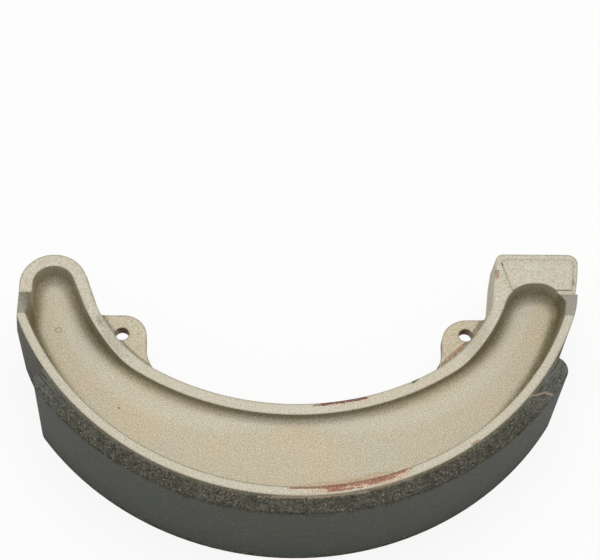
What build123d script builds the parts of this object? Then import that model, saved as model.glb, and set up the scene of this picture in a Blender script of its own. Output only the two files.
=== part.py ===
from build123d import *

import os
from math import acos, atan2, cos, hypot, pi, radians, sin, sqrt, tan

# One shoe of a 160 mm drum brake: an aluminium casting with a bonded friction lining.
#
# The shoe lies on its side.  The drum's axis is +Z, the lining faces -Y, the rounded anchor
# end is at -X and the cam pad at +X.  The casting is the same above and below its parting
# plane, so its upper half is drawn on that plane, about the drum's axis, and mirrored.  The
# finished shoe is then moved so that the origin is under the middle of its bounding box.

# Brake size, mm
drum_radius = 80.0
shoe_width = 30.0

# Friction lining, its ends as angles from -Y
lining_thickness = 4.6
lining_anchor_angle = 56.7
lining_cam_angle = 59.9
lining_nose_round = 3.8

# Rim that carries the lining
rim_top_thickness = 2.4
ramp_top_y = -26.0
ramp_foot_y = -16.2
ramp_foot_round = 1.5

# Web and flange
web_thickness = 4.0
flange_height = 9.6
flange_thickness = 3.0
flange_middle_radius = 46.3
flange_arc_radius = 71.0
flange_end_arc_radius = 38.0
flange_back_end_radius = 36.7
flange_rise_length = 12.0
flange_rise_gap = 1.0
flange_clearance_margin = 5.0

# Ends of the casting
end_height = 16.0
end_body_width = 21.4
anchor_radius = 9.4
anchor_inset = 3.7
anchor_tip_y = -4.5
anchor_neck_inset = 1.0
cam_face_y = -4.3
cam_pad_inset = 0.15
cam_pad_width = 22.7
cam_pad_lean = 7.8
cam_pad_inner_round = 2.1
cam_pad_outer_round = 2.6
cam_pad_depth = 8.8

# Low raised land on each side of the cam pad
land_height = 0.3
land_margin = 1.7
land_foot_gap = 1.2
land_side_x = 53.6
land_lean = 15.8
land_round = 1.2

# Pockets
anchor_wall = 3.35
pocket_flange_round = 8.2
pocket_rim_round = 6.0
pocket_floor_round = 2.4

# Casting practice
pocket_draft = 5.0
hub_draft = 8.0
anchor_draft = 5.0
cam_pad_draft = 3.0

# Spring tabs, their tips trimmed a little differently at the two ends
tab_thickness = 3.0
tab_hole_radius = 1.8
tab_hole_inset = 9.4
tab_hole_standoff = 4.2825
tab_side_margin = 6.4
tab_side_root = 11.0
tab_tip_root = 2.2
anchor_tab_tip_margin = 5.4
anchor_tab_round = 6.0
cam_tab_tip_margin = 4.4
cam_tab_round = 6.8

# Worked out from the sizes above, heights from the parting plane
half_width = shoe_width / 2
end_top = end_height / 2
flange_top = flange_height / 2
floor_top = web_thickness / 2
rim_radius = drum_radius - lining_thickness
flange_arc_y = flange_arc_radius - flange_middle_radius
hub_mouth_x = rim_radius - end_body_width
rise_end_x = hub_mouth_x - flange_rise_gap
rise_start_x = rise_end_x - flange_rise_length
anchor_x = anchor_inset + anchor_radius - rim_radius
anchor_y = anchor_tip_y - anchor_radius
neck_foot_y = anchor_y - anchor_radius / 2
cam_pad_x = rim_radius - cam_pad_width
tab_hole_x = tab_hole_inset - hub_mouth_x
reach = 3 * drum_radius


def lean(draft, height):
    """How far a wall with this draft moves sideways over a height."""
    return height * tan(radians(draft))


def end_arc_place(long_radius, end_radius, mouth_x):
    """Centre of the end arc that runs tangentially into the long arc and reaches mouth_x."""
    x = mouth_x - end_radius
    return x, flange_arc_y - sqrt((long_radius - end_radius) ** 2 - x**2)


def trough(long_radius, end_radius, mouth_x):
    """Face above a long arc that has a tighter arc at each end."""
    x, y = end_arc_place(long_radius, end_radius, mouth_x)
    turn = atan2(x, flange_arc_y - y)
    knee_angle = (pi / 2 - turn) / 2
    top = (mouth_x, y)
    knee = (x + end_radius * cos(knee_angle), y - end_radius * sin(knee_angle))
    join = (x + end_radius * sin(turn), y - end_radius * cos(turn))
    bottom = (0, flange_arc_y - long_radius)
    right = [ThreePointArc(top, knee, join), ThreePointArc(join, bottom, (-join[0], join[1]))]
    left = mirror(right[0], about=Plane.YZ)
    lid = Polyline(top, (mouth_x, reach), (-mouth_x, reach), (-mouth_x, y))
    return make_face([*right, left, lid])


def hub_side_y(x):
    """Where the hub side of the flange is at x: on the long arc, or beyond it on the end arc."""
    end_x, end_y = end_arc_place(flange_arc_radius, flange_end_arc_radius, hub_mouth_x)
    join_x = end_x * flange_arc_radius / (flange_arc_radius - flange_end_arc_radius)
    if abs(x) < join_x:
        return flange_arc_y - sqrt(flange_arc_radius**2 - x**2)
    return end_y - sqrt(flange_end_arc_radius**2 - (abs(x) - end_x) ** 2)


def hub_side(growth):
    """Open space inside the shoe, as far as the hub side of the flange, grown outwards."""
    mouth_x = hub_mouth_x + growth
    return trough(flange_arc_radius + growth, flange_end_arc_radius + growth, mouth_x)


def flange_back_sizes(growth):
    """Long radius, end radius and mouth of the flange's pocket side, grown outwards."""
    out = flange_thickness + growth
    return flange_arc_radius + out, flange_back_end_radius + growth, hub_mouth_x + out


def below(y):
    """Large face that ends at y."""
    return Pos(0, y - reach / 2) * Rectangle(2 * reach, reach)


def right_of(x):
    """Large face that starts at x."""
    return Pos(x + reach / 2, 0) * Rectangle(reach, 2 * reach)


def left_of(x):
    """Large face that ends at x."""
    return Pos(x - reach / 2, 0) * Rectangle(reach, 2 * reach)


def round_corners(face, points, radius):
    """Fillet the corners of a face that lie nearest to the given points."""
    corners = [face.vertices().sort_by_distance(Vertex(*point, 0))[0] for point in points]
    return fillet(corners, radius)


def disc_to_line(x, y, radius, start, end):
    """Face round a disc and a line, with straight sides from one to the other."""
    disc = Pos(x, y) * Circle(radius)
    return make_hull([*disc.edges(), Line(start, end)])


def cam_pad():
    """Solid block that the cam turns against: a flat face, and draft on the other sides."""
    radius = rim_radius - cam_pad_inset
    leaning = Pos(cam_pad_x, cam_face_y) * Rot(0, 0, -cam_pad_lean) * right_of(0)
    face = Circle(radius) & below(cam_face_y + cam_pad_depth) & leaning
    face -= below(cam_face_y - cam_pad_depth - pocket_flange_round)
    pad = extrude(face, half_width, taper=cam_pad_draft) & extrude(below(cam_face_y), half_width)
    outer = pad.edges().sort_by_distance(Vertex(radius, cam_face_y, half_width / 2))[0]
    pad = fillet(outer, cam_pad_outer_round)
    inner = pad.edges().sort_by_distance(Vertex(cam_pad_x, cam_face_y, half_width / 2))[0]
    return fillet(inner, cam_pad_inner_round)


def cam_pad_land():
    """Land that stands a little proud of the cam pad's side."""
    leaning = Pos(land_side_x, cam_face_y) * Rot(0, 0, land_lean) * right_of(0)
    face = Circle(rim_radius - land_margin) & below(cam_face_y - land_margin) & leaning
    face -= below(ramp_foot_y + land_foot_gap)
    face = fillet(face.vertices().sort_by(Axis.Y)[-2:], land_round)
    return Pos(0, 0, end_top) * extrude(face, land_height)


def anchor_knuckle():
    """Drafted round end that turns on the anchor pin, with the neck that leads to the hub side."""
    knuckle = extrude(Pos(anchor_x, anchor_y) * Circle(anchor_radius), half_width, taper=anchor_draft)
    x, y = end_arc_place(flange_arc_radius, flange_end_arc_radius, hub_mouth_x)
    foot_radius = flange_end_arc_radius - 2 * anchor_neck_inset
    foot = (-x - sqrt(foot_radius**2 - (y - neck_foot_y) ** 2), neck_foot_y)
    middle = (anchor_x, anchor_y)
    neck = disc_to_line(*middle, anchor_radius - anchor_neck_inset, middle, foot)
    return knuckle + extrude(neck, half_width)


def curved_body():
    """Arc between the two ends, out to the turned rim, with a drafted side at the anchor."""
    cam_end = Circle(rim_radius) & below(ramp_foot_y) & right_of(0)
    anchor_end = below(anchor_y) & left_of(anchor_x)
    anchor_end = Circle(rim_radius) & (anchor_end + (below(neck_foot_y) & left_of(0)))
    side = extrude(left_of(anchor_x - anchor_radius), half_width + 1, taper=-anchor_draft)
    return extrude(cam_end + anchor_end, half_width) - side


def hub_space():
    """What the drafted inner wall of the flange leaves open."""
    at_parting = hub_side(-lean(hub_draft, flange_top))
    return extrude(at_parting, half_width + 1, taper=-hub_draft)


def side_profile():
    """Cutter that drops the casting from its full width to the height of its ends.

    It has the same section all along X.
    """
    above = half_width + 1
    profile = Plane.YZ * make_face(
        Polyline(
            (ramp_top_y, half_width),
            (ramp_foot_y, end_top),
            (reach, end_top),
            (reach, above),
            (ramp_top_y, above),
            close=True,
        )
    )
    cutter = extrude(profile, reach, both=True)
    foot = cutter.edges().filter_by(Axis.X).sort_by_distance(Vertex(0, ramp_foot_y, end_top))[0]
    return fillet(foot, ramp_foot_round)


def flange_clearance():
    """Cutter that lowers the flange below the ends, with a smooth rise at each end.

    It ends over the pocket, so that it never reaches the rim.
    """
    rise = Spline(
        (rise_start_x, flange_top),
        ((rise_start_x + rise_end_x) / 2, (flange_top + end_top) / 2),
        (rise_end_x, end_top),
        tangents=[(1, 0), (1, 0)],
    )
    floor = Line((-rise_start_x, flange_top), (rise_start_x, flange_top))
    above = half_width + 1
    lid = Polyline(
        (rise_end_x, end_top),
        (drum_radius, end_top),
        (drum_radius, above),
        (-drum_radius, above),
        (-drum_radius, end_top),
        (-rise_end_x, end_top),
    )
    profile = Plane.XZ * make_face([rise, floor, mirror(rise, about=Plane.YZ), lid])
    plan = hub_side(flange_thickness + flange_clearance_margin) & below(drum_radius)
    return extrude(profile, drum_radius, both=True) & extrude(plan, above)


def pocket_face(height):
    """Plan of a pocket at a height: every wall leans in towards the floor."""
    shrink = lean(pocket_draft, end_top - height)
    back = flange_back_sizes(lean(pocket_draft, flange_top - height))
    rim_wall = rim_radius - rim_top_thickness - lean(pocket_draft, half_width - height)
    band = Circle(rim_wall) - trough(*back)
    return anchor_pocket(band, back, shrink) + cam_pocket(band, back, shrink)


def flange_foot(x, y, flange_radius, end_radius):
    """Where the tangent of the pocket's end meets a flange arc about (x, y)."""
    apart = hypot(anchor_x - x, anchor_y - y)
    swing = acos(min(1, (end_radius + flange_radius) / apart))
    angle = atan2(anchor_y - y, anchor_x - x) + swing
    return x + flange_radius * cos(angle), y + flange_radius * sin(angle)


def anchor_pocket(band, back, shrink):
    """Left half of the pocket: its end follows the knuckle and runs straight into the flange."""
    radius = anchor_radius - lean(anchor_draft, end_top) - anchor_wall - shrink
    x, y = end_arc_place(*back)
    foot = flange_foot(-x, y, back[1], radius)
    join_x = x * back[0] / (back[0] - back[1])
    if foot[0] > -join_x:
        foot = flange_foot(0, flange_arc_y, back[0], radius)
    side_x = anchor_x - radius
    end = disc_to_line(anchor_x, anchor_y, radius, (side_x, foot[1]), foot)
    return (band & below(foot[1]) & left_of(0) & right_of(side_x)) + end


def cam_pocket(band, back, shrink):
    """Right half of the pocket, its end rounded as far as its width allows."""
    end_y = cam_face_y - cam_pad_depth - shrink
    x, y = end_arc_place(*back)
    face = band & below(end_y) & right_of(0)
    corners = face.vertices().sort_by(Axis.Y)[-2:].sort_by(Axis.X)
    room = corners[1].X - corners[0].X
    face = fillet(corners[1], min(pocket_rim_round - shrink, 0.4 * room))
    corner = face.vertices().sort_by_distance(corners[0])[0]
    return fillet(corner, min(pocket_flange_round - shrink, 0.55 * room))


def pocket():
    """Cutter for one pocket, with drafted walls and a rounded floor."""
    depth = half_width + 1 - floor_top
    cutter = Pos(0, 0, floor_top) * extrude(pocket_face(floor_top), depth, taper=-pocket_draft)
    return fillet(cutter.faces().sort_by(Axis.Z)[0].edges(), pocket_floor_round)


def tab_hole_y():
    """Height of the spring holes in plan, above the hub side of the flange."""
    return hub_side_y(tab_hole_x) + tab_hole_standoff


def tab_face(tip_margin, tip_round):
    """Plan of the left spring tab: an ear round its hole, with rounded roots on the flange."""
    side_x = tab_hole_x + tab_side_margin
    tip_y = tab_hole_y() + tip_margin
    ear = hub_side(flange_thickness / 2) & below(tip_y) & left_of(side_x)
    ear = round_corners(ear, [(side_x, tip_y)], tip_round)
    end_wall = (hub_side(flange_thickness / 2) - hub_side(0)) & left_of(tab_hole_x)
    end_wall &= below(tip_y + 2 * tab_tip_root)
    x, y = end_arc_place(flange_arc_radius, flange_end_arc_radius, hub_mouth_x)
    tip_root_x = -x - sqrt(flange_end_arc_radius**2 - (y - tip_y) ** 2)
    tab = round_corners(ear + end_wall, [(tip_root_x, tip_y)], tab_tip_root)
    long_wall = Circle(flange_arc_radius + flange_thickness / 2) - Circle(flange_arc_radius)
    long_wall = Pos(0, flange_arc_y) * long_wall & left_of(0) & right_of(tab_hole_x) & below(tip_y)
    side_root_y = flange_arc_y - sqrt(flange_arc_radius**2 - side_x**2)
    return round_corners(tab + long_wall, [(side_x, side_root_y)], tab_side_root)


def spring_tabs():
    """Both spring tabs, half of their thickness."""
    left = extrude(tab_face(anchor_tab_tip_margin, anchor_tab_round), tab_thickness / 2)
    right = extrude(tab_face(cam_tab_tip_margin, cam_tab_round), tab_thickness / 2)
    return left + mirror(right, about=Plane.YZ)


def tab_hole():
    """Drill for the left spring hole."""
    return Pos(tab_hole_x, tab_hole_y()) * Cylinder(tab_hole_radius, shoe_width)


def upper_half():
    """Casting above its parting plane."""
    body = curved_body() + anchor_knuckle() - hub_space() + cam_pad()
    body = body - side_profile() - flange_clearance() + cam_pad_land() - pocket()
    return body + spring_tabs()


def shoe_casting():
    """Whole casting, with the two spring holes drilled."""
    upper = upper_half()
    casting = upper + mirror(upper, about=Plane.XY)
    return casting - tab_hole() - mirror(tab_hole(), about=Plane.YZ)


def polar(radius, angle):
    """Point at an angle from -Y, counted towards +X."""
    return radius * sin(radians(angle)), -radius * cos(radians(angle))


def friction_lining():
    """Lining on the outside of the rim, cut square to it and rounded off at both ends."""
    left = polar(reach, -lining_anchor_angle)
    right = polar(reach, lining_cam_angle)
    wedge = make_face(
        Polyline((0, 0), left, (left[0], -reach), (right[0], -reach), right, close=True)
    )
    face = (Circle(drum_radius) - Circle(rim_radius)) & wedge
    noses = [polar(drum_radius, -lining_anchor_angle), polar(drum_radius, lining_cam_angle)]
    return extrude(round_corners(face, noses, lining_nose_round), half_width, both=True)


nodes = {"shoe_casting": shoe_casting(), "friction_lining": friction_lining()}
whole = Compound(list(nodes.values())).bounding_box()
to_origin = Pos(-whole.center().X, -whole.center().Y, -whole.min.Z)
os.makedirs("parts", exist_ok=True)
for name, shape in nodes.items():
    export_step(to_origin * shape, f"parts/{name}.step")
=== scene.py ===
# %% [markdown]
# # A drum brake shoe, dressed in Blender
#
# A brake shoe is two pieces of the same width.  The casting is aluminium: a rim, a web and a
# flange, with a round anchor end on the left and a cam pad on the right.  The friction lining
# is a band of resin-bonded material, glued on the rim.
#
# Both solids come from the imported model, and their shapes are right, so they stay.  What this
# script adds is their finish, the light and the camera.  A finish could be painted on an
# image, but here it is worked out by shader nodes from places on the shoe, so it stays sharp
# from any distance and needs no file.

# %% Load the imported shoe
from math import cos, radians, sin

import bmesh
import bpy
from mathutils import Matrix, Vector


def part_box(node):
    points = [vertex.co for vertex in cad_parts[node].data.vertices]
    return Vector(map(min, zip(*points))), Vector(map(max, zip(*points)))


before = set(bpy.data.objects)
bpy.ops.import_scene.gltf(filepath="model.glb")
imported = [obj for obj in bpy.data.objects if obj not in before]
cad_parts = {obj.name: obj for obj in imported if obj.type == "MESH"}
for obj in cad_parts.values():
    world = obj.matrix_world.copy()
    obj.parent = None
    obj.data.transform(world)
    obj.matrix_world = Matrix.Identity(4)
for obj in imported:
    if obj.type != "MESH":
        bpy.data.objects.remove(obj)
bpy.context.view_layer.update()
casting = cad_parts["shoe_casting"]
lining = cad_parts["friction_lining"]
mm = 0.001

# %% [markdown]
# ## Measures of the shoe
#
# The patterns have to know where things are.  The shoe lies on its side with the drum's axis
# upright.  The lining's lowest point is on the drum's radius, and the anchor end stops a
# little short of the rim's radius, so the boxes of the two solids give the axis.

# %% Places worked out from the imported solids
lining_low, lining_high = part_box("friction_lining")
casting_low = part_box("shoe_casting")[0]
drum_radius = 80 * mm
lining_thickness = 4.6 * mm
rim_radius = drum_radius - lining_thickness
anchor_inset = 3.7 * mm
axis_x = casting_low.x + rim_radius - anchor_inset
axis_y = lining_low.y + drum_radius
middle_z = (lining_high.z - lining_low.z) / 2
print("drum axis, mm:", round(axis_x / mm, 2), round(axis_y / mm, 2))

# %% [markdown]
# ## Small helpers
#
# Colours are written as sRGB hex values, as a paint maker would give them, and the shader
# works in linear light, so one function turns them.  The second function adds a shader node
# with its settings and its inputs: an input is a plain value or another node's output.  The
# third makes a material with no nodes, to start from.


# %% Helpers for colours and nodes
def linear(hex_colour):
    """Linear RGBA of an sRGB hex colour."""
    channels = [int(hex_colour[i : i + 2], 16) / 255 for i in (0, 2, 4)]
    return (*[c / 12.92 if c <= 0.04045 else ((c + 0.055) / 1.055) ** 2.4 for c in channels], 1)


def add_node(material, kind, inputs=None, **settings):
    """Add a node to a material and return it."""
    tree = material.node_tree
    node = tree.nodes.new(kind)
    for name, value in settings.items():
        setattr(node, name, value)
    for socket, value in (inputs or {}).items():
        if isinstance(value, bpy.types.NodeSocket):
            tree.links.new(value, node.inputs[socket])
        else:
            node.inputs[socket].default_value = value
    return node


def empty_material(name):
    """Material with no nodes in it."""
    material = bpy.data.materials.new(name)
    material.use_nodes = True
    material.node_tree.nodes.clear()
    return material


print("steel blue in linear light:", [round(c, 3) for c in linear("4682B4")])

# %% [markdown]
# ## Coats and where they lie
#
# A finish is built as a painter would build it: one ground colour, and thin coats over it.
# Each coat has a mask, a number that is 1 where the coat lies and 0 where it doesn't.  The
# masks come from facts about a point, such as its height or its distance from the drum's
# axis.  A mask could switch at one value, but that leaves a hard line, so it changes smoothly
# between two: where the coat is gone and where it is full.  A coat with several such limits
# lies only where all of them hold.

# %% Helpers for coats
lengths = ("x", "y", "side_x", "height", "radius", "flange_reach", "from_anchor", "crumbled")
units = {**dict.fromkeys(lengths, mm), "from_middle": radians(1)}


def join(material, operation, *masks):
    """Output of masks joined: MULTIPLY holds where all of them do, MAXIMUM where any does."""
    joined = masks[0]
    for each in masks[1:]:
        node = add_node(material, "ShaderNodeMath", {0: joined, 1: each}, operation=operation)
        joined = node.outputs[0]
    return joined


def where(material, facts, *limits, off=0.0, on=1.0):
    """Mask that goes from off to on inside all limits.

    A limit is the name of a fact, its value where the mask is off and its value where the
    mask is on, in mm, in degrees or as a plain number.  A name alone is a mask already.
    """
    masks = []
    for name, *ends in limits:
        if ends:
            gone, full = [end * units.get(name, 1) for end in ends]
            inputs = {"Value": facts[name], "From Min": gone, "From Max": full}
            inputs.update({"To Min": off, "To Max": on})
            node = add_node(
                material, "ShaderNodeMapRange", inputs, interpolation_type="SMOOTHSTEP"
            )
            masks.append(node.outputs["Result"])
        else:
            masks.append(facts[name])
    return join(material, "MULTIPLY", *masks)


def lay_over(material, under, mask, hex_colour, cover):
    """Output of a coat over a colour; cover is how much it hides where its mask is 1."""
    factor = join(material, "MULTIPLY", mask, cover)
    colours = {"Factor": factor, 6: under, 7: linear(hex_colour)}
    return add_node(material, "ShaderNodeMix", colours, data_type="RGBA").outputs[2]


def lay_coats(material, facts, colour, coats):
    """Lay coats one after the other: each has a colour, its cover and its limits."""
    for hex_colour, cover, *limits in coats:
        mask = where(material, facts, *limits)
        colour = lay_over(material, colour, mask, hex_colour, cover)
    return colour


print("limits are in mm for", ", ".join(lengths))

# %% [markdown]
# ## Where a point of the surface is
#
# The finishes change from face to face, so each point needs a few facts.  Its height over the
# middle plane is counted the same way up and down, because the two sides of the shoe are
# alike.  Its radius is its distance from the drum's axis.  Its flange reach is its distance
# from the centre of the arcs that end the flange, the same on the left and on the right, and
# it tells the flange from the web and the tabs.  How level the surface is there tells a wall
# from a floor.
#
# A casting has no sharp edge, and the solids' edges are sharp.  They could be bevelled, but
# their meshes stay as they are, so a Bevel node rounds the light on them instead.  The
# corners along the pocket's floor are rounder than the edges, and rounder still at its ends.

# %% Measures behind the facts
end_arc_centre = (16 * mm, -4.16 * mm, 0)
anchor_centre = (-62.3 * mm, -13.9 * mm, 0)
edge_round = 0.9 * mm
corner_round = 3.0 * mm
end_corner_round = 6.0 * mm
bevel_samples = 8
past_flange = ("flange_reach", 39.54, 40.54)
low_corner = ("height", 4.3, 3.0)
near_end = ("side_x", 46, 56)
anchor_pocket = ("from_anchor", 7.2, 6.8)
right_half = ("x", 0, 1)
under_cam_pad = ("y", -11.8, -12.3)
middle_pocket = ("y", -15, -17)
rounds = (edge_round, corner_round, end_corner_round)
print("rounds of edges, corners and end corners, mm:", [round(size / mm, 1) for size in rounds])


# %% Facts about a point, as node outputs
def place_facts(material):
    """Where a point is: its place from the axis, its height and its distances in plan."""
    place = add_node(material, "ShaderNodeTexCoord").outputs["Object"]
    middle = (axis_x, axis_y, middle_z)
    place = add_node(
        material, "ShaderNodeVectorMath", {0: place, 1: middle}, operation="SUBTRACT"
    ).outputs[0]
    folded = add_node(material, "ShaderNodeVectorMath", {0: place}, operation="ABSOLUTE")
    split = add_node(material, "ShaderNodeSeparateXYZ", {0: place})
    sides = add_node(material, "ShaderNodeSeparateXYZ", {0: folded.outputs[0]})
    facts = {
        "place": place,
        "x": split.outputs["X"],
        "y": split.outputs["Y"],
        "side_x": sides.outputs["X"],
        "height": sides.outputs["Z"],
    }
    for name, across, centre in (
        ("radius", "x", (0, 0, 0)),
        ("from_anchor", "x", anchor_centre),
        ("flange_reach", "side_x", end_arc_centre),
    ):
        plan = add_node(material, "ShaderNodeCombineXYZ", {"X": facts[across], "Y": facts["y"]})
        ends = {0: plan.outputs[0], 1: centre}
        reach = add_node(material, "ShaderNodeVectorMath", ends, operation="DISTANCE")
        facts[name] = reach.outputs["Value"]
    return facts


def round_size(material, facts):
    """Output of the radius that the light on an edge or corner is rounded with."""
    added = where(
        material,
        facts,
        near_end,
        off=corner_round - edge_round,
        on=end_corner_round - edge_round,
    )
    corner = where(material, facts, low_corner, ("past_flange",))
    sizes = {0: corner, 1: added, 2: edge_round}
    return add_node(material, "ShaderNodeMath", sizes, operation="MULTIPLY_ADD").outputs[0]


def surface_facts(material):
    """Facts about a point's place, and which way the surface faces there."""
    facts = place_facts(material)
    facts["past_flange"] = where(material, facts, past_flange)
    pockets = join(
        material,
        "MAXIMUM",
        where(material, facts, anchor_pocket),
        where(material, facts, right_half, under_cam_pad),
        where(material, facts, middle_pocket),
    )
    facts["in_pocket"] = join(material, "MULTIPLY", pockets, facts["past_flange"])
    radius = {"Radius": round_size(material, facts)}
    bevel = add_node(material, "ShaderNodeBevel", radius, samples=bevel_samples)
    facts["rounded"] = bevel.outputs["Normal"]
    sharp = add_node(material, "ShaderNodeNewGeometry").outputs["True Normal"]
    for name, normal in (("level", sharp), ("rounded_level", facts["rounded"])):
        way = add_node(material, "ShaderNodeVectorMath", {0: normal}, operation="ABSOLUTE")
        way = add_node(material, "ShaderNodeSeparateXYZ", {0: way.outputs[0]})
        facts[name] = way.outputs["Z"]
    return facts


practice = empty_material("practice")
print("facts:", ", ".join(surface_facts(practice)))
bpy.data.materials.remove(practice)

# %% [markdown]
# ## Grain and marks
#
# Grain, clouds and streaks are noise patterns, each with spots of a real size in mm.  A mark,
# such as a stain, is an oval at a place on the shoe.  A plain oval looks like a sticker, so
# noise frays its border: the more it frays, the more the mark breaks up into specks.

# %% Helpers for grain and marks
fray_detail = 3.0
fray_roughness = 0.6
mark_edge = 1.0
mark_core = 0.82


def add_patterns(material, facts, place, patterns):
    """Add noise patterns to the facts: each has a spot size in mm, a detail and a roughness."""
    for name, (size, detail, roughness) in patterns.items():
        inputs = {"Scale": 1 / (size * mm), "Detail": detail, "Roughness": roughness}
        noise = add_node(material, "ShaderNodeTexNoise", {"Vector": place, **inputs})
        facts[name] = noise.outputs["Fac"]


def patch(material, facts, middle, size, turn, fray, fray_size):
    """Mask of a frayed oval mark: its middle and half sizes in mm, its turn in degrees."""
    oval = add_node(
        material,
        "ShaderNodeMapping",
        {
            "Vector": facts["place"],
            "Location": [side * mm for side in middle],
            "Rotation": (0, 0, radians(turn)),
            "Scale": [side * mm for side in size],
        },
        vector_type="TEXTURE",
    ).outputs[0]
    reach = add_node(material, "ShaderNodeVectorMath", {0: oval}, operation="LENGTH")
    mark = {}
    fray_noise = (fray_size, fray_detail, fray_roughness)
    add_patterns(material, mark, facts["place"], {"fray": fray_noise})
    frayed = {0: mark["fray"], 1: fray, 2: reach.outputs["Value"]}
    frayed = add_node(material, "ShaderNodeMath", frayed, operation="MULTIPLY_ADD")
    mark["reach"] = frayed.outputs[0]
    # The noise is about a half on average, so the mark keeps its size
    mean_fray = fray / 2
    return where(material, mark, ("reach", mark_edge + mean_fray, mark_core + mean_fray))


def lay_marks(material, facts, colour, kinds_of_marks):
    """Lay marks over a colour: each kind has its marks, their colour and their cover."""
    for marks, hex_colour, cover in kinds_of_marks:
        for mark in marks:
            mask = patch(material, facts, *mark)
            colour = lay_over(material, colour, mask, hex_colour, cover)
    return colour


print("a mark fades over", round(mark_edge - mark_core, 2), "of its half size")

# %% [markdown]
# ## Cast aluminium, blasted and chromated
#
# The casting comes out of a steel die, is shot-blasted and gets a thin yellow chromate coat.
# The coat turns the metal to a pale champagne, and the blasting leaves a fine sandy grain, so
# the surface is nearly matt, with small sparks where a dent catches the light, painted as
# highlights in the colour.
#
# Shade is painted into the colour of the draft walls and deep corners: the olive of the chromate
# coat on the walls and at the pockets' ends, darker olive on the rim's wall and in the corner at
# its foot, grey on the walls towards the hub, and a thin brown line along the rim's inner edge
# and on the tabs beside the flange.  The flange's top and a band along the flange's foot have
# worn paler, and the upper edges are nearly bare.  The ramps down to the rim have olive painted
# shade on the left and are grey on the right.  The rim's outside is turned after casting, so its
# ends, which the lining leaves bare, are smooth metal with cutter lines and without the grain,
# painted nearly black as shade.

# %% Colours of the casting
champagne = "C2B9A2"
champagne_warm = "C6B89B"
champagne_pale = "CDC8B7"
wall_shade_olive = "7D744F"
rim_wall_shade = "5F573C"
pocket_end_shade = "6C6136"
rim_corner_shade = "7A6F4A"
hub_wall_shade = "8B8878"
bare_aluminium = "C4BDA9"
ramp_shade_olive = "655B42"
rubbed_grey = "ABA598"
ramp_grey = "A9A498"
crease_shade_brown = "5A5138"
turned_rim_shade = "1F1C12"
turned_pale = "66655A"
pit_brown = "6F6448"
glint_cream = "F6F1E4"
print("ground colour of the casting:", champagne)

# %% Faces, coats and painted shade of the casting
# Patterns: spot size in mm, detail, roughness
cast_patterns = {
    "clouds": (16, 2.0, 0.5),
    "dents": (0.34, 3.0, 0.65),
}
cutter_patterns = {"cutter_lines": (0.4, 3.0, 0.6)}
cutter_stretch = (0.05, 0.05, 1.0)
# Faces: a fact, its value where the face ends, and its value well inside the face
steep_faces = [("level", 0.8, 0.3)]
sloping_faces = [
    ("level", 0.6, 0.7),
    ("level", 0.95, 0.88),
    ("height", 7.9, 8.2),
    ("radius", 68, 69.5),
]
turned_faces = [("radius", 75.25, 75.35), ("level", 0.4, 0.2)]
casting_ends = [("y", -25, -19), ("radius", 71.5, 69.5)]
pocket_sides = ("y", -9, -19)
pocket_end_share = 0.4
# Coats: colour, cover, then their limits
cast_coats_and_shade = [
    (champagne_warm, 0.8, ("clouds", 0.35, 0.65)),
    (champagne_pale, 0.5, ("flange_reach", 42.54, 45.54), ("flange_reach", 50.54, 46.54)),
    (champagne_pale, 0.55, ("height", 4.0, 4.6)),
    # Painted shade in the chromate's olive on the steep walls, mostly taken off at the casting's
    # ends
    (wall_shade_olive, 0.62, ("steep",), ("kept_wall_shade",)),
    # Painted shade, partly the chromate's olive: darker olive on the rim's wall
    (rim_wall_shade, 0.45, ("steep",), ("radius", 70, 71)),
    # Painted shade: olive on the floor and walls near the pockets' ends
    (
        pocket_end_shade,
        0.55,
        ("rounded_level", 0.99, 0.82),
        ("side_x", 38, 56),
        ("in_pocket",),
        ("radius", 73.0, 72.7),
        ("height", 8.5, 3.0),
        ("pocket_side",),
    ),
    # Painted shade: olive in the corner at the foot of the rim's wall
    (
        rim_corner_shade,
        0.8,
        ("radius", 69.3, 71.2),
        ("height", 9, 8),
        ("y", -19, -22),
        ("side_x", 25, 58),
    ),
    # Painted shade: grey on the steep walls towards the hub
    (hub_wall_shade, 0.5, ("steep",), ("radius", 52, 48)),
    (bare_aluminium, 0.65, ("height", 14.88, 14.96)),
    # Painted shade: olive on the ramps, left showing on the left ramp only
    (ramp_shade_olive, 0.85, ("slope",)),
    (rubbed_grey, 0.8, ("slope",), ("radius", 70.5, 74)),
    (ramp_grey, 0.9, ("slope",), ("x", -1, 1)),
    # Painted shade: a thin brown line along the rim's inner edge
    (crease_shade_brown, 0.45, ("radius", 72.7, 72.9), ("radius", 73.25, 73.05), ("height", 14.3, 14.8)),
    # Painted shade: the turned rim's bare ends made nearly black
    (turned_rim_shade, 0.9, ("turned",)),
    (turned_pale, 0.35, ("turned",), ("cutter_lines", 0.45, 0.7)),
    # Painted shadow: brown on the tabs beside the flange
    (
        crease_shade_brown,
        0.6,
        ("flange_reach", 36.14, 36.44),
        ("height", 1.8, 1.6),
        ("radius", 60, 58),
        ("level", 0.9, 0.98),
    ),
]
blasting_coats_and_glints = [
    (pit_brown, 0.5, ("ejector_ring",)),
    (pit_brown, 0.52, ("blasted",), ("dents", 0.46, 0.34)),
    # Painted highlights: cream sparks on the dents
    (glint_cream, 0.58, ("blasted",), ("dents", 0.55, 0.67)),
]
print("coats on the casting:", len(cast_coats_and_shade) + len(blasting_coats_and_glints))

# %% [markdown]
# ## Marks of use on the casting
#
# The shoe has been handled.  The primer that holds the lining has run over the rim's edge and
# dried copper-red, with a thin pink border and an orange tint on the web beside it, and small
# marks of it are left on the flange, the cam pad and the tabs.  The pin that pushed the
# casting out of its die has left a faint ring on the web.

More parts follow.
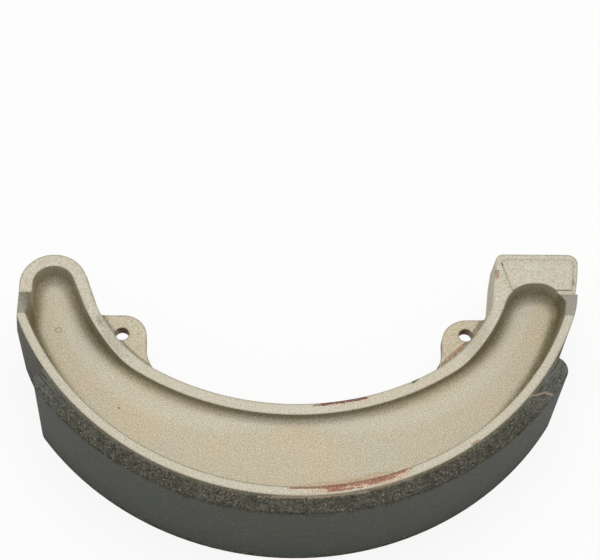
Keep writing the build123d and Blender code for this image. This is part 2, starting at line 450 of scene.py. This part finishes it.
# %% Marks on the casting
# Each mark: middle from the drum's axis and the middle plane, half sizes, turn, fray, fray size
primer_marks = [
    ((0.6, -73.35, 15), (4.6, 0.32, 1.5), 0.5, 1.0, 1.6),
    ((8.0, -72.85, 15), (5.2, 0.5, 1.5), 6.3, 1.1, 1.5),
    ((10.5, -73.7, 15), (4.5, 0.35, 1.5), 8, 1.8, 1.2),
    ((15.6, -71.7, 15), (5.6, 0.75, 1.5), 12.3, 1.2, 1.5),
    ((20.0, -71.1, 15), (4.2, 0.5, 1.5), 15.7, 1.8, 1.2),
    ((23.2, -69.5, 15), (4.6, 0.5, 1.5), 18.4, 1.3, 1.4),
    ((8.5, -73.2, 15), (2.6, 0.9, 1.5), 8, 1.8, 1.0),
    ((18.6, -71.3, 15), (2.2, 0.9, 1.5), 30, 1.8, 1.0),
    ((44.6, -22.9, -0.2), (1.9, 0.7, 1.6), 0, 0.6, 1.0),
    ((-44.6, -22.9, -0.2), (1.9, 0.7, 1.6), 0, 0.6, 1.0),
]
thin_primer_marks = [
    ((43.1, -61.4, 15), (1.4, 0.4, 1.5), 35, 1.3, 1.0),
    ((60.2, -39.6, 11), (0.9, 3.0, 2.6), -33, 1.4, 1.6),
    ((41.5, -29.8, 1.6), (5.2, 0.5, 0.9), 42, 1.0, 1.5),
    ((53.0, -10.2, 8), (0.7, 1.5, 1.6), -8, 1.5, 1.0),
    ((72.9, -12.8, 8.5), (0.4, 1.1, 1.6), 4, 1.5, 0.8),
]
primer_borders = [
    ((12.4, -72.9, 15), (12.5, 0.9, 1.5), 9.2, 1.5, 1.1),
    ((23.6, -69.9, 15), (5.0, 0.8, 1.5), 18.4, 1.5, 1.1),
]
primer_tints = [
    ((7.0, -67.3, 2.0), (11.0, 1.2, 2.6), 6.5, 1.0, 2.5),
    ((18.0, -65.4, 2.0), (8.0, 1.2, 2.6), 15, 1.0, 2.5),
]
dried_primer_marks = [
    ((11.4, -45.6, 4.6), (7.8, 0.55, 1.2), 9.3, 1.2, 1.3),
]
dark_marks_and_step_shade = [
    ((30.4, -39.7, 4.8), (1.4, 0.35, 0.8), 38, 0.9, 0.8),
    ((-44.8, -46.2, 2), (0.3, 0.28, 0.5), 0, 0.5, 0.6),
    # Painted shade: a thin dark line along the step of the cam pad's land
    ((54.5, -7.4, 8), (0.18, 0.9, 0.6), 16, 0.8, 0.7),
]
faint_marks = [
    ((-50.0, -24.3, 7.2), (1.5, 0.8, 1.6), -60, 4.0, 0.35),
]
primer_red = "936047"
primer_orange = "B07A4A"
primer_pink = "C9957A"
dried_primer = "6E3029"
soot_and_shade_grey = "3C3B3C"
# Kinds of marks, the lowest first: the marks, their colour and their cover
cast_marks = [
    (primer_tints, primer_orange, 0.3),
    (primer_borders, primer_pink, 0.4),
    (primer_marks, primer_red, 0.85),
    (thin_primer_marks, primer_red, 0.6),
    (dried_primer_marks, dried_primer, 0.9),
    (dark_marks_and_step_shade, soot_and_shade_grey, 0.8),
    (faint_marks, soot_and_shade_grey, 0.35),
]
ejector_middle = (-60.9, -24.1, 2)
ejector_radius = 0.95
ejector_ring_width = 0.35
ejector_fray = (0.3, 0.6)
print("marks on the casting:", sum(len(marks) for marks, _, _ in cast_marks))

# %% [markdown]
# ## The casting's material
#
# Aluminium under a chromate coat is only partly metallic to the eye, and the blasting makes
# it rough.  The dents of the blasting are about 0.1 mm, too fine to show, so they are drawn
# three times as coarse.  The turned rim keeps only a trace of them.

# %% Facts and material of the casting
ends_lose = 0.8
pocket_keeps = 0.15
turning_takes = 0.85
dent_strength = 0.35
dent_depth = 0.12 * mm


def add_face_masks(material, facts):
    """Add the masks of the casting's faces, and how much painted wall shade and grain each keeps.
    """
    facts["steep"] = where(material, facts, *steep_faces)
    facts["slope"] = where(material, facts, *sloping_faces)
    facts["turned"] = where(material, facts, *turned_faces)
    facts["pocket_side"] = where(material, facts, pocket_sides, off=pocket_end_share)
    # The painted wall shade is mostly taken off at the casting's ends, a little less in the
    # pockets
    loss = {0: facts["in_pocket"], 1: -pocket_keeps, 2: ends_lose}
    loss = add_node(material, "ShaderNodeMath", loss, operation="MULTIPLY_ADD").outputs[0]
    lost_wall_shade = join(material, "MULTIPLY", where(material, facts, *casting_ends), loss)
    lost_grain = join(material, "MULTIPLY", facts["turned"], turning_takes)
    for name, lost in (("kept_wall_shade", lost_wall_shade), ("blasted", lost_grain)):
        kept = add_node(material, "ShaderNodeMath", {0: 1.0, 1: lost}, operation="SUBTRACT")
        facts[name] = kept.outputs[0]


def add_cast_patterns(material, facts):
    """Add the casting's grain, clouds, cutter lines and ejector ring to the facts."""
    add_patterns(material, facts, facts["place"], cast_patterns)
    stretch = {0: facts["place"], 1: cutter_stretch}
    stretched = add_node(material, "ShaderNodeVectorMath", stretch, operation="MULTIPLY")
    add_patterns(material, facts, stretched.outputs[0], cutter_patterns)
    discs = {}
    for socket, radius in enumerate((ejector_radius, ejector_radius - ejector_ring_width)):
        size = (radius, radius, 1)
        discs[socket] = patch(material, facts, ejector_middle, size, 0, *ejector_fray)
    ring = add_node(material, "ShaderNodeMath", discs, operation="SUBTRACT", use_clamp=True)
    facts["ejector_ring"] = ring.outputs[0]


def make_cast_aluminium():
    """Shot-blasted, chromated aluminium casting with a turned rim."""
    material = empty_material("cast_aluminium_chromated")
    facts = surface_facts(material)
    add_face_masks(material, facts)
    add_cast_patterns(material, facts)
    colour = lay_coats(material, facts, linear(champagne), cast_coats_and_shade)
    colour = lay_marks(material, facts, colour, cast_marks)
    colour = lay_coats(material, facts, colour, blasting_coats_and_glints)
    bump = add_node(
        material,
        "ShaderNodeBump",
        {
            "Height": facts["dents"],
            "Strength": dent_strength,
            "Distance": dent_depth,
            "Normal": facts["rounded"],
        },
    )
    shader = add_node(
        material,
        "ShaderNodeBsdfPrincipled",
        {
            "Base Color": colour,
            "Metallic": 0.35,
            "Roughness": 0.58,
            "Specular IOR Level": 0.4,
            "Normal": bump.outputs["Normal"],
        },
    )
    add_node(material, "ShaderNodeOutputMaterial", {"Surface": shader.outputs["BSDF"]})
    return material


casting.data.materials.clear()
casting.data.materials.append(make_cast_aluminium())
print("casting:", casting.data.materials[0].name)

# %% [markdown]
# ## Friction material, moulded and ground
#
# The lining is mineral fibre and metal chips in a phenolic resin, pressed into a mould, so its
# sides are rough and flecked with pale chips.  Single fibres are too fine to show, so they
# are drawn as clumps of half a millimetre.  Towards the ends the sides and the end faces have
# been sanded, which leaves grey streaks.  The working face is ground to the drum's radius and
# is smooth, dark and slightly green, and its border crumbles.  A thread of glue and some glue
# dust are left on the side.

# %% Patterns and coats of the lining
resin_black = "34332A"
hole_black = "20201A"
fibre_brown = "625F4F"
chip_cream = "ADA68E"
dust_brown = "857B66"
sanded_grey = "6B6E69"
ground_green = "4B4F46"
ground_dark = "42443D"
ground_fleck = "6A6B62"
# Patterns: spot size in mm, detail, roughness
lining_patterns = {
    "fibres": (0.55, 3.0, 0.7),
    "dark_spots": (2.6, 3.0, 0.65),
    "holes": (1.1, 2.0, 0.6),
    "chips": (0.65, 1.0, 0.5),
    "crumbs": (2.0, 4.0, 0.75),
}
streak_patterns = {"streaks": (0.5, 3.0, 0.6)}
streak_stretch = (0.009, 1.0, 0.4)
# Coats: colour, cover, then their limits
side_coats = [
    (fibre_brown, 1.0, ("fibres", 0.38, 0.64)),
    (resin_black, 0.6, ("dark_spots", 0.52, 0.38)),
    (hole_black, 0.7, ("holes", 0.42, 0.32)),
    (chip_cream, 0.6, ("chips", 0.66, 0.74)),
    (dust_brown, 0.4, ("radius", 76.5, 75.6)),
    (sanded_grey, 0.75, ("from_middle", 43, 56), ("streaks", 0.36, 0.62)),
]
face_coats = [
    (ground_dark, 0.6, ("streaks", 0.35, 0.7)),
    (ground_fleck, 0.6, ("chips", 0.58, 0.72)),
    (sanded_grey, 0.45, ("from_middle", 38, 54), ("streaks", 0.56, 0.64)),
]
# The ground face: a fact, its value where the face ends, and its value well inside the face
ground_faces = [("radius", 79.75, 79.92), ("level", 0.4, 0.2), ("crumbled", 19.6, 18.8)]
crumb_reach = 11 * mm
print("coats on the lining:", len(side_coats), "on its sides,", len(face_coats), "on its face")

# %% Glue on the lining
# Each mark: middle from the drum's axis and the middle plane, half sizes, turn, fray, fray size
glue_thread = [
    ((58.2, -48.6, 15), (1.6, 0.22, 0.6), 8, 1.0, 0.8),
    ((60.6, -48.0, 15), (1.5, 0.2, 0.6), 20, 1.0, 0.8),
    ((62.4, -48.2, 15), (1.3, 0.3, 0.6), -18, 1.0, 0.8),
]
glue_dust = [
    ((-1.0, -75.6, 15), (9.0, 0.45, 1.5), 0, 2.6, 0.7),
    ((9.0, -75.1, 15), (8.0, 0.5, 1.5), 6.5, 2.6, 0.7),
    ((21.0, -72.5, 15), (6.0, 0.5, 1.5), 16, 2.6, 0.7),
]
glue_pink = "A98F81"
glue_tan = "AA957F"
# Kinds of marks, the lowest first: the marks, their colour and their cover
glue_marks = [(glue_dust, glue_tan, 0.45), (glue_thread, glue_pink, 0.85)]
print("marks of glue:", len(glue_thread) + len(glue_dust))

# %% Facts and material of the lining
side_roughness = 0.85
face_roughness = 0.7
side_relief = 0.55
face_relief = 0.08
relief_depth = 0.25 * mm


def add_lining_facts(material, facts):
    """Add the lining's patterns, its angle from the middle and its crumbling border."""
    add_patterns(material, facts, facts["place"], lining_patterns)
    down = add_node(material, "ShaderNodeMath", {0: facts["y"], 1: -1.0}, operation="MULTIPLY")
    angle = {0: facts["x"], 1: down.outputs[0]}
    angle = add_node(material, "ShaderNodeMath", angle, operation="ARCTAN2").outputs[0]
    unrolled = {"X": angle, "Y": facts["radius"], "Z": facts["height"]}
    unrolled = add_node(material, "ShaderNodeCombineXYZ", unrolled)
    stretch = {0: unrolled.outputs[0], 1: streak_stretch}
    stretched = add_node(material, "ShaderNodeVectorMath", stretch, operation="MULTIPLY")
    add_patterns(material, facts, stretched.outputs[0], streak_patterns)
    from_middle = add_node(material, "ShaderNodeMath", {0: angle}, operation="ABSOLUTE")
    facts["from_middle"] = from_middle.outputs[0]
    border = {0: facts["crumbs"], 1: crumb_reach, 2: facts["height"]}
    border = add_node(material, "ShaderNodeMath", border, operation="MULTIPLY_ADD")
    facts["crumbled"] = border.outputs[0]


def make_friction_material():
    """Moulded friction lining with a ground working face."""
    material = empty_material("friction_material_moulded")
    facts = surface_facts(material)
    add_lining_facts(material, facts)
    side = lay_coats(material, facts, linear(resin_black), side_coats)
    side = lay_marks(material, facts, side, glue_marks)
    face = lay_coats(material, facts, linear(ground_green), face_coats)
    ground = where(material, facts, *ground_faces)
    colours = {"Factor": ground, 6: side, 7: face}
    colour = add_node(material, "ShaderNodeMix", colours, data_type="RGBA").outputs[2]
    roughness = add_node(
        material,
        "ShaderNodeMapRange",
        {"Value": ground, "To Min": side_roughness, "To Max": face_roughness},
    ).outputs["Result"]
    relief = add_node(
        material,
        "ShaderNodeMapRange",
        {"Value": ground, "To Min": side_relief, "To Max": face_relief},
    ).outputs["Result"]
    bump = add_node(
        material,
        "ShaderNodeBump",
        {
            "Height": facts["fibres"],
            "Strength": relief,
            "Distance": relief_depth,
            "Normal": facts["rounded"],
        },
    )
    shader = add_node(
        material,
        "ShaderNodeBsdfPrincipled",
        {"Base Color": colour, "Roughness": roughness, "Normal": bump.outputs["Normal"]},
    )
    add_node(material, "ShaderNodeOutputMaterial", {"Surface": shader.outputs["BSDF"]})
    return material


lining.data.materials.clear()
lining.data.materials.append(make_friction_material())
print("lining:", lining.data.materials[0].name)

# %% [markdown]
# ## Floor and light
#
# A part in a catalogue stands on white.  The floor is a wide sheet of white paper that throws
# light back on the shoe.  Lit paper is never quite white to the camera, so most of what the
# camera sees of it is plain white, and a small share is the lit paper, which keeps a faint
# shadow round the shoe.  One large soft lamp hangs high over the shoe, and the world gives
# the pale surroundings, so level faces are bright and steep walls are darker.

# %% Floor
floor_half = 3.0
floor_gap = 0.02 * mm
shadow_share = 0.12
paper_white = "F7F6F3"
plain_white = "FFFFFF"


def make_floor():
    """Wide sheet of paper under the shoe, nearly plain white to the camera."""
    shape = bmesh.new()
    just_below = Matrix.Translation((0, 0, -floor_gap))
    bmesh.ops.create_grid(shape, x_segments=1, y_segments=1, size=floor_half, matrix=just_below)
    mesh = bpy.data.meshes.new("floor")
    shape.to_mesh(mesh)
    shape.free()
    floor = bpy.data.objects.new("floor", mesh)
    bpy.context.scene.collection.objects.link(floor)
    material = empty_material("white_paper")
    paper = add_node(
        material,
        "ShaderNodeBsdfPrincipled",
        {"Base Color": linear(paper_white), "Roughness": 0.9, "Specular IOR Level": 0.1},
    )
    plain = add_node(
        material, "ShaderNodeEmission", {"Color": linear(plain_white), "Strength": 1.0}
    )
    seen = add_node(material, "ShaderNodeLightPath").outputs["Is Camera Ray"]
    seen = join(material, "MULTIPLY", seen, 1.0 - shadow_share)
    surface = add_node(
        material,
        "ShaderNodeMixShader",
        {0: seen, 1: paper.outputs["BSDF"], 2: plain.outputs["Emission"]},
    )
    add_node(material, "ShaderNodeOutputMaterial", {"Surface": surface.outputs["Shader"]})
    mesh.materials.append(material)
    return floor


print("floor:", make_floor().name, "of", 2 * floor_half, "m")

# %% Lamp and world
lamp_place = Vector((0.0, 0.2, 0.9))
lamp_side = 0.7
lamp_power = 4.3
world_strength = 0.5
lamp_data = bpy.data.lights.new("top_softbox", "AREA")
lamp_data.shape = "SQUARE"
lamp_data.size = lamp_side
lamp_data.energy = lamp_power
lamp = bpy.data.objects.new("top_softbox", lamp_data)
lamp.location = lamp_place
to_shoe = Vector((0, 0, middle_z)) - lamp_place
lamp.rotation_euler = to_shoe.to_track_quat("-Z", "Y").to_euler()
bpy.context.scene.collection.objects.link(lamp)
world = bpy.data.worlds.new("studio")
world.use_nodes = True
background = world.node_tree.nodes["Background"]
background.inputs["Color"].default_value = linear(plain_white)
background.inputs["Strength"].default_value = world_strength
bpy.context.scene.world = world
bpy.context.scene.view_settings.view_transform = "Standard"
print("lamp to shoe, m:", round(to_shoe.length, 2))

# %% [markdown]
# ## Camera
#
# The camera looks down on the shoe from the lining's side, from about half a metre away, with
# a long lens and a slight tilt.

# %% Camera
look_at = Vector((1.004, 42.556, 0)) * mm
camera_distance = 515 * mm
camera_azimuth = radians(-5.71)
camera_elevation = radians(60.94)
camera_roll = radians(5.32)
camera_lens = 112.98
back = Vector(
    (
        sin(camera_azimuth) * cos(camera_elevation),
        -cos(camera_azimuth) * cos(camera_elevation),
        sin(camera_elevation),
    )
)
camera_data = bpy.data.cameras.new("camera")
camera_data.lens = camera_lens
camera = bpy.data.objects.new("camera", camera_data)
turn = back.to_track_quat("Z", "Y").to_matrix().to_4x4() @ Matrix.Rotation(camera_roll, 4, "Z")
camera.matrix_world = Matrix.Translation(look_at + camera_distance * back) @ turn
bpy.context.scene.collection.objects.link(camera)
bpy.context.scene.camera = camera
print("camera, mm:", [round(c / mm) for c in camera.matrix_world.translation])
